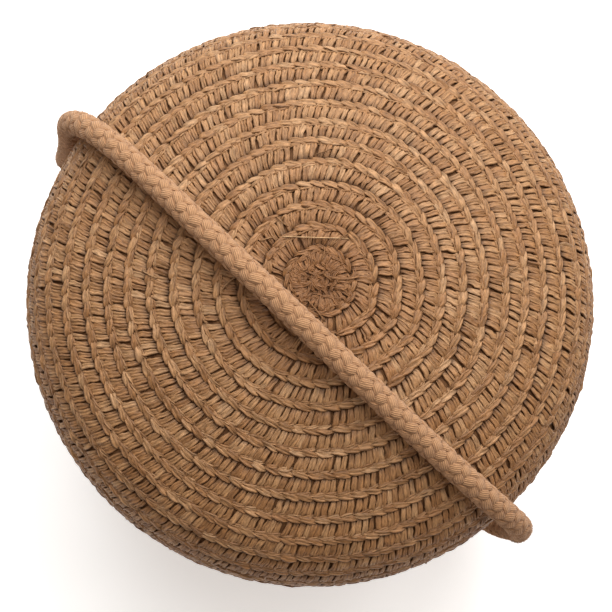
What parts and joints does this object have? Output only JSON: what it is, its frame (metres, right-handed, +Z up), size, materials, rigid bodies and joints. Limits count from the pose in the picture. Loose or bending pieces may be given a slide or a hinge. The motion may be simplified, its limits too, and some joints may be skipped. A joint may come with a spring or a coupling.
{
  "type": "straw bucket bag with rope handle",
  "caption": "Small round crocheted straw bucket bag standing on its mouth, domed base up, lined, with a braided cotton rope handle through two eyelets.",
  "frame": {"origin": "centre of the mouth on the surface that the bag stands on, under the middle of the domed base", "axes": "+Z up out of the base, +X along the line through the two eyelets towards the right one, +Y away from the pocket"},
  "size_m": [0.2505, 0.2024, 0.2113],
  "materials": {
    "straw": "crocheted twisted paper straw, dry and slightly creased, soft satin where the flat yarn catches light",
    "rope": "solid braided cotton, matt, lightly fuzzy",
    "lining": "plain woven cotton, matt",
    "binding": "cotton twill tape, matt, stitched",
    "fitting": "antique brass, satin, worn bright on its edges",
    "thread": "waxed cotton thread, wound close"
  },
  "bodies": {
    "bag": {"straw_base": "straw", "straw_wall": "straw", "mouth_hem": "straw", "lining_base": "lining", "lining_wall": "lining", "mouth_binding": "binding", "pocket_panel": "lining", "pocket_hem": "binding", "snap_tab_front": "binding", "snap_plate_front": "fitting", "snap_stud": "fitting", "snap_tab_back": "binding", "snap_plate_back": "fitting", "snap_socket": "fitting", "eyelet_left": "fitting", "eyelet_washer_left": "fitting", "eyelet_right": "fitting", "eyelet_washer_right": "fitting"},
    "handle": {"handle_rope": "rope", "knot_left": "rope", "whipping_left": "thread", "knot_right": "rope", "whipping_right": "thread"}
  },
  "joints": [
    {"name": "handle_swing", "type": "hinge", "parent": "bag", "child": "handle", "pos_m": [0, 0, 0.022], "axis": [-1, 0, 0], "range_deg": [0, 99]}
  ]
}
